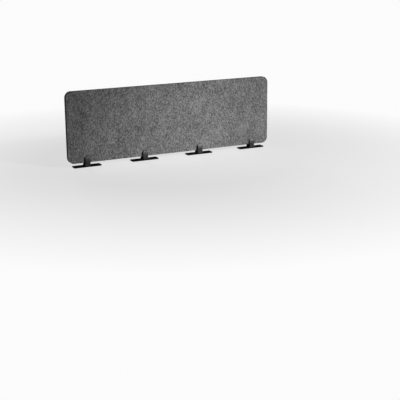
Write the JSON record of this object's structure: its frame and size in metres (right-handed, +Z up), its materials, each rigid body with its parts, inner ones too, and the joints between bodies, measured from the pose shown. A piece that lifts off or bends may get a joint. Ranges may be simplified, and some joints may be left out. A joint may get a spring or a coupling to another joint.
{
  "type": "desk divider screen",
  "caption": "Grey felt desk divider screen with rounded corners, held upright by black clamping clips on flat plates that lie on the desktop.",
  "frame": {"origin": "on the desktop, below the middle of the panel, at the centre of the bounding box's bottom face", "axes": "+X along the panel to the right seen from the front, -Y out of the front face, +Z up"},
  "size_m": [1.6, 0.0524, 0.5355],
  "materials": {
    "felt": "needle-punched pressed polyester felt, heather grey",
    "black_steel": "fine-textured black powder coat",
    "black_plastic": "satin black moulded nylon",
    "rubber": "matt black soft rubber",
    "screw_steel": "zinc-plated steel",
    "insert_brass": "plain brass"
  },
  "bodies": {
    "clips": {"base_pad_1": "rubber", "base_plate_1": "black_steel", "saddle_1": "black_plastic", "front_jaw_1": "black_plastic", "rear_jaw_1": "black_plastic", "front_grip_1": "rubber", "rear_grip_1": "rubber", "base_pad_2": "rubber", "base_plate_2": "black_steel", "saddle_2": "black_plastic", "front_jaw_2": "black_plastic", "rear_jaw_2": "black_plastic", "front_grip_2": "rubber", "rear_grip_2": "rubber", "base_pad_3": "rubber", "base_plate_3": "black_steel", "saddle_3": "black_plastic", "front_jaw_3": "black_plastic", "rear_jaw_3": "black_plastic", "front_grip_3": "rubber", "rear_grip_3": "rubber", "base_pad_4": "rubber", "base_plate_4": "black_steel", "saddle_4": "black_plastic", "front_jaw_4": "black_plastic", "rear_jaw_4": "black_plastic", "front_grip_4": "rubber", "rear_grip_4": "rubber", "plate_screws": "screw_steel", "clamp_screws": "screw_steel", "saddle_inserts": "insert_brass", "jaw_inserts": "insert_brass"},
    "panel": {"front_felt": "felt", "core_felt": "felt", "rear_felt": "felt"}
  },
  "joints": [
    {"name": "panel_lift", "type": "slide", "parent": "clips", "child": "panel", "axis": [0, 0, 1], "range_m": [0, 0.06]}
  ]
}
